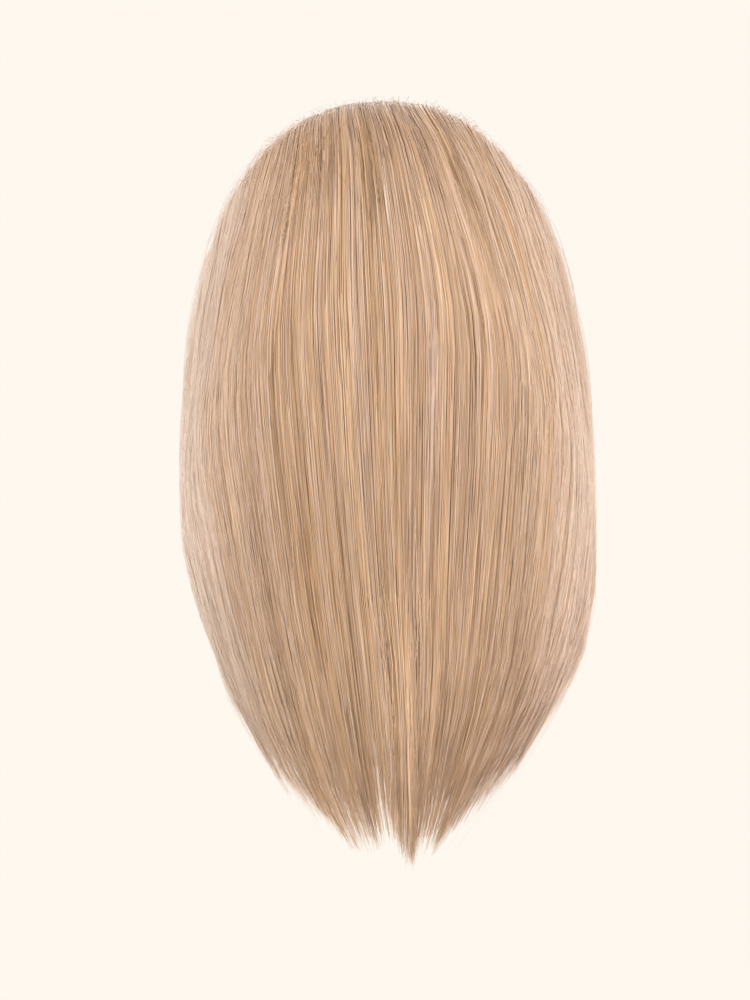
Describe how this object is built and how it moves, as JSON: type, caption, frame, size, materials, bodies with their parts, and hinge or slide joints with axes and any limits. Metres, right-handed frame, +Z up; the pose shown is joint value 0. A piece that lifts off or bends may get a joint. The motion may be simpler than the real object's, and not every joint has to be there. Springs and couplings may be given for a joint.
{
  "type": "toupee hairpiece",
  "caption": "Long straight blond hairpiece for the crown of the head: a domed base cap with comb clips, outer hair in locks that draw together to a point at the back, and an under layer.",
  "frame": {"origin": "the middle of the base cap's underside, where it lies on the crown of the wearer's head", "axes": "+Z up, +Y the way the wearer faces, +X to the right as seen from behind"},
  "size_m": [0.1903, 0.1798, 0.3493],
  "materials": {
    "hair": "straight sandy blond hair, satin",
    "under_hair": "darker blond hair, satin",
    "cap": "fine skin-toned mesh",
    "clip": "satin brown enamel on spring steel"
  },
  "bodies": {
    "root": {"base_cap": "cap", "clip_front": "clip", "clip_back": "clip", "clip_left": "clip", "clip_right": "clip", "hair_left": "hair", "hair_back": "hair", "hair_right": "hair", "under_hair": "under_hair"}
  },
  "joints": []
}
